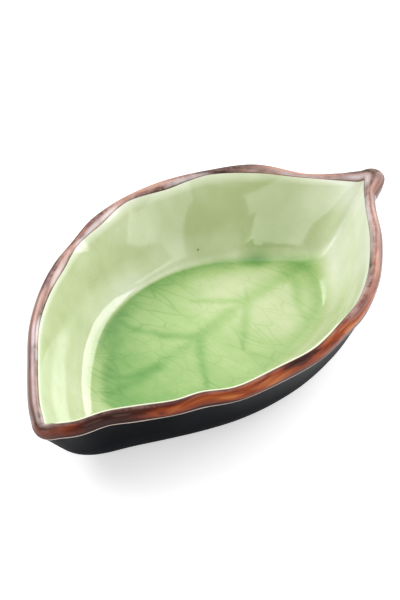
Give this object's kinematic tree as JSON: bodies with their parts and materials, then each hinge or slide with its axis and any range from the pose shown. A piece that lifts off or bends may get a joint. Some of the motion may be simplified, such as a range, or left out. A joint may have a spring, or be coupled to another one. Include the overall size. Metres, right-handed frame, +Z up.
{
  "type": "leaf shaped plate",
  "caption": "Shallow leaf-shaped ceramic dish with a wavy lip, a stem stub, sloping walls, a flat floor with pressed leaf veins and a bare foot ring.",
  "frame": {"origin": "under the middle of the dish, on the plane that the foot ring stands on", "axes": "+X along the leaf from its apex to its stem, +Y to the left of that across the width, +Z up"},
  "size_m": [0.1538, 0.0906, 0.0302],
  "materials": {
    "stoneware": "matte fired clay, hidden under the glaze",
    "bare_stoneware": "matte, unglazed and slightly rough",
    "green_crackle_glaze": "glossy, thin pale glaze on the walls and darker where it pools, with fine crackle",
    "brown_glaze": "glossy, streaked from dark brown to copper",
    "black_glaze": "glossy black"
  },
  "bodies": {
    "root": {"clay_body": "stoneware", "foot_ring": "bare_stoneware", "green_glaze_lining": "green_crackle_glaze", "brown_rim_glaze": "brown_glaze", "black_outer_glaze": "black_glaze"}
  },
  "joints": []
}
